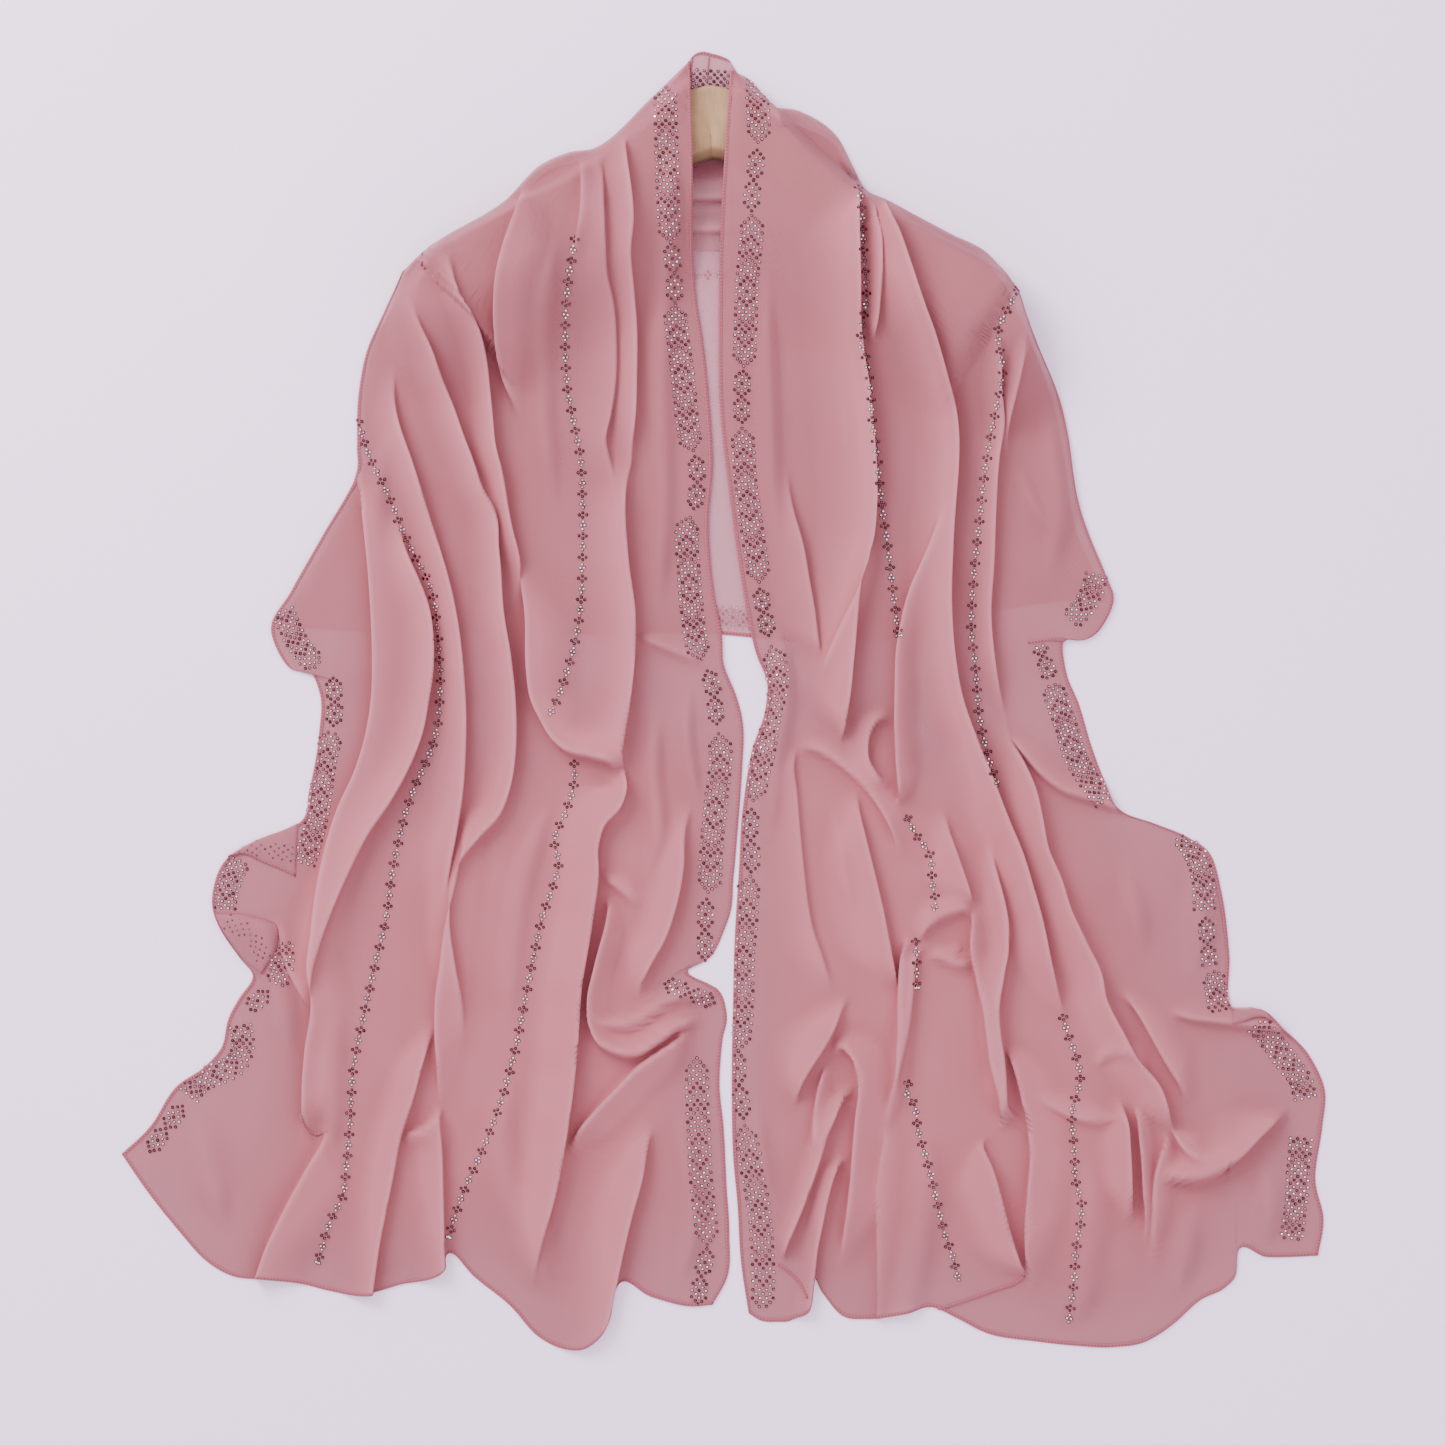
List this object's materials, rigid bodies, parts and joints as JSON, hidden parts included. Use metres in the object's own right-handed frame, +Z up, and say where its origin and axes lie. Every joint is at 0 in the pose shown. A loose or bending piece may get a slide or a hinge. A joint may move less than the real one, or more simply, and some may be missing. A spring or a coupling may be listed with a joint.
{
  "type": "chiffon scarf on a wooden hanger",
  "caption": "Rose chiffon scarf with stone borders, laid flat over a shaped wooden hanger with both ends hanging down its front.",
  "frame": {"origin": "centre of the whole part's outline seen from above, on the surface it lies on", "axes": "+Z up out of the surface, +Y towards the neck, +X to the right as the picture shows it"},
  "size_m": [0.8541, 0.923, 0.0504],
  "materials": {
    "rose_chiffon": "matte",
    "rose_chiffon_wrong_side": "matte",
    "beech": "satin"
  },
  "bodies": {
    "root": {"left_front": "rose_chiffon", "right_front": "rose_chiffon", "back_panel": "rose_chiffon_wrong_side", "neck_pleats": "rose_chiffon_wrong_side", "hanger": "beech"}
  },
  "joints": []
}
